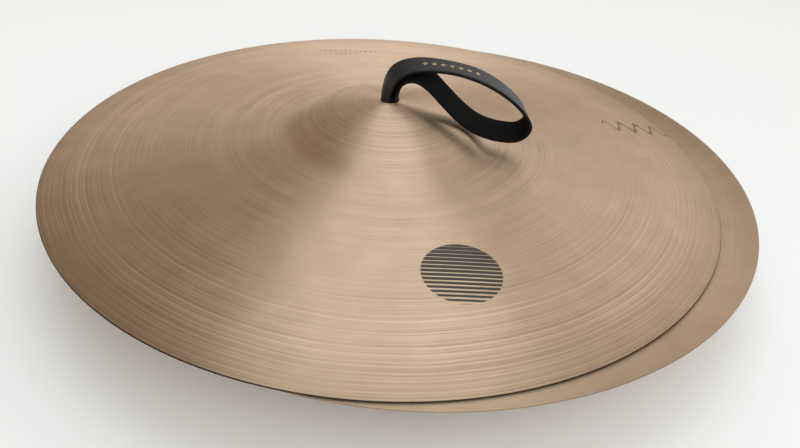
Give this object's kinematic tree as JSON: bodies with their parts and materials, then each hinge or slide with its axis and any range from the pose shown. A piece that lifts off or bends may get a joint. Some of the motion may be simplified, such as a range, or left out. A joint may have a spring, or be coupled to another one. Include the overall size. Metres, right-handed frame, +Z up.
{
  "type": "hand cymbals",
  "caption": "Pair of bronze hand cymbals laid face to face, each with a flat leather hand strap passed through the bell and knotted inside.",
  "frame": {"origin": "under the middle of the pair, on the surface that it stands on", "axes": "+Z up; X along the sideways shift between the two cymbals, the lower one towards +X"},
  "size_m": [0.5325, 0.508, 0.1358],
  "materials": {
    "bronze": "lathe-turned bronze, satin, with fine circular grooves",
    "strap_leather": "black leather, smooth grain, soft sheen"
  },
  "bodies": {
    "lower_cymbal": {"cymbal_lower": "bronze", "strap_fold_lower": "strap_leather", "strap_neck_lower": "strap_leather", "strap_knot_lower": "strap_leather", "strap_tail_lower_1": "strap_leather", "strap_tail_lower_2": "strap_leather", "strap_tail_lower_3": "strap_leather", "strap_tail_lower_4": "strap_leather"},
    "upper_cymbal": {"cymbal_upper": "bronze"},
    "lower_loop": {"strap_loop_lower": "strap_leather"},
    "upper_knot": {"strap_neck_upper": "strap_leather", "strap_knot_upper": "strap_leather", "strap_tail_upper_1": "strap_leather", "strap_tail_upper_2": "strap_leather", "strap_tail_upper_3": "strap_leather", "strap_tail_upper_4": "strap_leather"},
    "upper_loop": {"strap_loop_upper": "strap_leather"}
  },
  "joints": [
    {"name": "lift_off", "type": "slide", "parent": "lower_cymbal", "child": "upper_cymbal", "axis": [0, 0, 1], "range_m": [0, 0.15]},
    {"name": "upper_strap_swivel", "type": "hinge", "parent": "upper_cymbal", "child": "upper_knot", "pos_m": [-0.01137, 0, 0.10385], "axis": [0.0183, 0, 0.9998], "continuous": true},
    {"name": "upper_strap_tilt", "type": "hinge", "parent": "upper_knot", "child": "upper_loop", "pos_m": [-0.01129, 0, 0.10835], "axis": [-0.4694, 0.8829, 0.0086], "range_deg": [-80, 0]},
    {"name": "lower_strap_tilt", "type": "hinge", "parent": "lower_cymbal", "child": "lower_loop", "pos_m": [-0.01775, 0, 0.00275], "axis": [0, -1, 0], "range_deg": [0, 90]}
  ]
}
